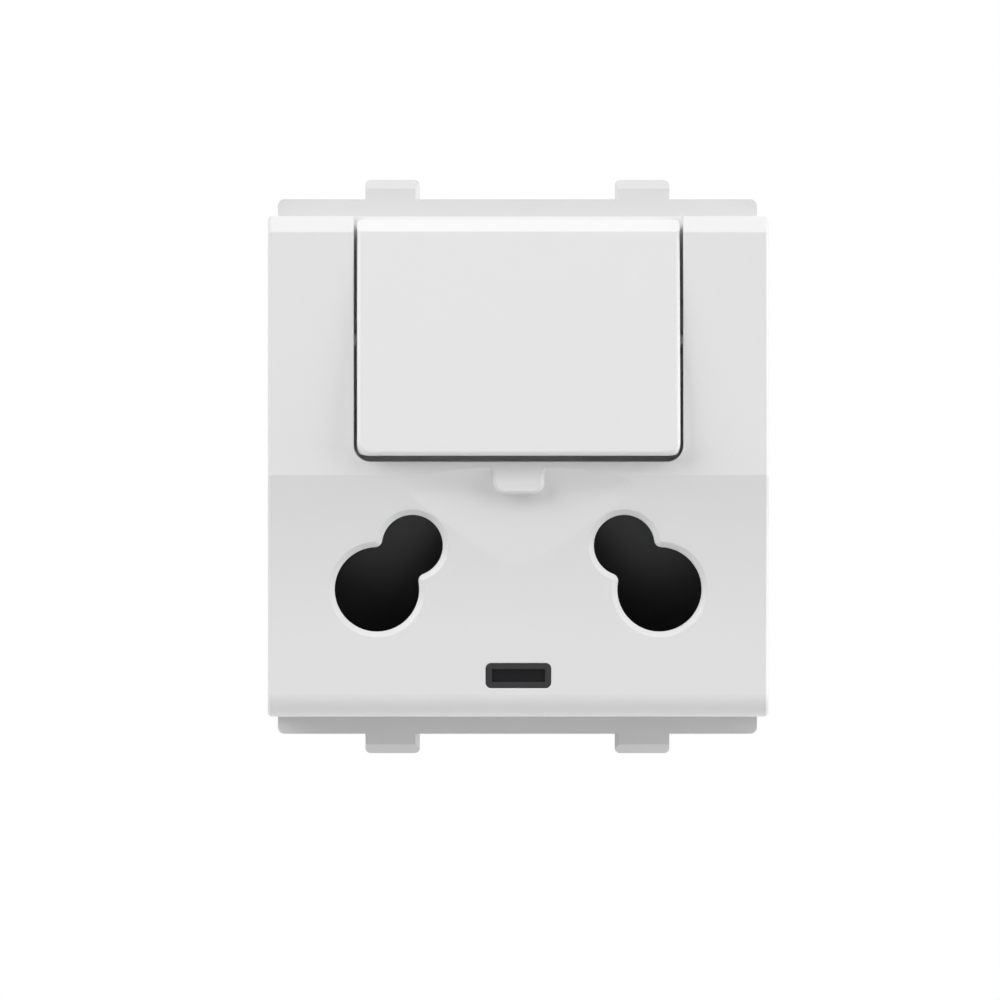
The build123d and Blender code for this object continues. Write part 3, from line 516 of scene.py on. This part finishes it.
# Front cover: the white square face with the rocker's well, the tab, the dish and the pin holes.
# It is moulded in a whiter polycarbonate than the base, with small chamfers on its edges.
# The skin is satin with a very faint flow pattern, and the edges turn a little softer in the shading only.
edge_turn = 0.16 * mm
white_plastic, tree, shader = start_material(
    "moulded_white_polycarbonate", "#EAEAEA", {"IOR": polycarbonate_ior}
)
place = add_node(tree, "ShaderNodeTexCoord", {}, {})
flow = add_node(
    tree, "ShaderNodeTexNoise", {"Scale": 1 / flow_size, "Detail": flow_detail},
    {"Vector": place.outputs["Object"]},
)
gloss = add_node(
    tree, "ShaderNodeMapRange", {"To Min": 0.34, "To Max": 0.42}, {"Value": flow.outputs["Fac"]}
)
tree.links.new(gloss.outputs["Result"], shader.inputs["Roughness"])
edge = add_node(tree, "ShaderNodeBevel", {"samples": 6, "Radius": edge_turn}, {})
tree.links.new(edge.outputs["Normal"], shader.inputs["Normal"])
dress(nodes["front_cover"], white_plastic)

# Rocker: the white switch plate that tilts on two pins in the walls of the cover's well.
# It is moulded in the same plastic as the cover, with ribs and a tube for the plunger behind.
dress(nodes["switch_rocker"], white_plastic)

# Plunger: the pin in the rocker's tube that tips the contact lever over.
# It is moulded in natural nylon, which is a little uneven in tone.
nylon_cloud_size = 0.8 * mm
nylon, tree, shader = start_material("natural_nylon", "#DDD6C5", {"Roughness": 0.5})
place = add_node(tree, "ShaderNodeTexCoord", {}, {})
cloud = add_node(
    tree, "ShaderNodeTexNoise", {"Scale": 1 / nylon_cloud_size}, {"Vector": place.outputs["Object"]}
)
tone = add_node(tree, "ShaderNodeMix", {"data_type": "RGBA"}, {"Factor": cloud.outputs["Fac"]})
tone.inputs["A"].default_value = shader.inputs["Base Color"].default_value
tone.inputs["B"].default_value = linear("#EAE6DC")
tree.links.new(tone.outputs["Result"], shader.inputs["Base Color"])
dress(nodes["switch_plunger"], nylon)

# Plunger spring: the small coil between the bottom of the rocker's tube and the plunger.
# It is wound from the same drawn wire as the shutter's spring and tilts with the rocker.
plunger_coil_radius = 1.3 * mm
plunger_coil_wire = 0.32 * mm
plunger_coil_turns = 4
plunger_coil_length = 4.1 * mm
rocker_tilt = math.radians(9)
pivot_y = -6.5153 * mm
pivot_z = 11.2701 * mm
tube_bottom = -0.7 * mm
plunger_spring = coil(
    "plunger_coil", plunger_coil_radius, plunger_coil_wire, plunger_coil_turns, plunger_coil_length
)
stand(
    plunger_spring,
    (0, pivot_y + tube_bottom * math.cos(rocker_tilt), pivot_z - tube_bottom * math.sin(rocker_tilt)),
    -math.pi / 2 - rocker_tilt,
)
seat(plunger_spring, spring_steel, "steel", "rocker", "plunger_spring")

# Cover screws: two long steel screws with round heads, driven from behind into the cover's columns.
# Each has a cross recess, and its head sits in a counterbore of the base.
cover_head_radius = 2.1 * mm
cover_head_height = 1.6 * mm
cover_head_round = 0.9 * mm
cover_shank_radius = 1.25 * mm
cover_pitch = 0.5 * mm
cover_head_y = 19.3 * mm
cover_screw_place = 17.8 * mm
cross_width = 0.55 * mm
cross_length = 2.3 * mm
cross_depth = 1.0 * mm
cross_taper = 0.6
cover_shank_length = cover_head_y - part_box("cover_screws")[0][1]
cover_screw = bolt(
    "cover_screw_pair", cover_head_radius, cover_head_height, cover_head_round,
    cover_shank_radius, cover_shank_length, cover_pitch,
)
for turn in (0.0, math.pi / 2):
    cut_slot(cover_screw, cross_length, cross_width, cross_depth, cover_head_height, turn, cross_taper)
stand(cover_screw, (-cover_screw_place, cover_head_y, -cover_screw_place), -math.pi / 2)
cover_screw = pair(cover_screw, (2 * cover_screw_place, 0, 2 * cover_screw_place))
seat(cover_screw, steel, "steel", "housing", "cover_screws")

# Stage: a pale floor well below the object, white surroundings, five soft lamps and the camera.
# The side lamps draw the shade beside the rocker and the tab, and the rear one serves views from behind.
# The floor's matt paint gives a plain white ground with the faint stipple of a roller.
floor_drop = 300 * mm
floor_size = 0.7
stipple_size = 4 * mm
stipple_depth = 0.1 * mm
bpy.ops.object.select_all(action="DESELECT")
bpy.ops.mesh.primitive_plane_add(size=floor_size, location=(0, 0, -floor_drop))
floor = bpy.context.object
floor.name = "floor"
floor_paint, tree, shader = start_material("matt_white_paint", "#F2F2F2", {"Roughness": 0.9})
place = add_node(tree, "ShaderNodeTexCoord", {}, {})
stipple = add_node(
    tree, "ShaderNodeTexNoise", {"Scale": 1 / stipple_size}, {"Vector": place.outputs["Object"]}
)
bump = add_node(
    tree, "ShaderNodeBump", {"Strength": 0.05, "Distance": stipple_depth},
    {"Height": stipple.outputs["Fac"]},
)
tree.links.new(bump.outputs["Normal"], shader.inputs["Normal"])
dress(floor, floor_paint)

# The surroundings look full white to the camera and in reflections, and light the pieces less than that.
ambient = 0.24
world = bpy.data.worlds.new("soft_white_studio")
bpy.context.scene.world = world
world.use_nodes = True
tree = world.node_tree
rays = add_node(tree, "ShaderNodeLightPath", {}, {})
shiny = add_node(
    tree, "ShaderNodeMath", {"operation": "MAXIMUM"},
    {0: rays.outputs["Is Glossy Ray"], 1: rays.outputs["Is Transmission Ray"]},
)
shown = add_node(
    tree, "ShaderNodeMath", {"operation": "MAXIMUM"},
    {0: rays.outputs["Is Camera Ray"], 1: shiny.outputs[0]},
)
level = add_node(
    tree, "ShaderNodeMapRange", {"To Min": ambient, "To Max": 1.0}, {"Value": shown.outputs[0]}
)
tree.links.new(level.outputs["Result"], tree.nodes["Background"].inputs["Strength"])
tree.nodes["Background"].inputs["Color"].default_value = (1, 1, 1, 1)

# Each lamp has its azimuth and elevation in degrees, its size in metres and its strength.
# The strength is how light a white card gets that faces the lamp, with 1 as full white.
lamp_distance = 0.9
lamps = (
    ("right_lamp", 80, 15, 0.9, 0.86),
    ("left_lamp", -60, 30, 0.7, 0.69),
    ("top_lamp", 0, 60, 0.55, 0.12),
    ("front_lamp", 40, 40, 0.55, 0.17),
    ("rear_lamp", 180, 35, 0.8, 0.6),
)
for name, azimuth, elevation, size, strength in lamps:
    turn = math.radians(azimuth)
    rise = math.radians(elevation)
    bpy.ops.object.light_add(
        type="AREA",
        location=(
            lamp_distance * math.cos(rise) * math.sin(turn),
            -lamp_distance * math.cos(rise) * math.cos(turn),
            lamp_distance * math.sin(rise),
        ),
        rotation=(math.pi / 2 - rise, 0, turn),
    )
    lamp = bpy.context.object
    lamp.name = name
    lamp.data.size = size
    lamp.data.energy = strength * math.pi**2 * lamp_distance**2
    lamp.visible_camera = False

# The camera stands square to the front, a little to the left, at the photo's scale.
pixels_per_mm = 11.09
picture_width = 1000
view_x = -1.57 * mm
view_z = -3.02 * mm
view_turn = math.radians(0.65)
camera_distance = 2.0
bpy.ops.object.camera_add(
    location=(
        view_x - camera_distance * math.sin(view_turn), -camera_distance * math.cos(view_turn), view_z
    ),
    rotation=(math.pi / 2, 0, -view_turn),
)
camera = bpy.context.object
camera.data.sensor_width = 36.0
camera.data.lens = camera.data.sensor_width * camera_distance / (picture_width / pixels_per_mm * mm)
camera.data.clip_end = 20.0
bpy.context.scene.camera = camera
bpy.context.scene.view_settings.view_transform = "Standard"
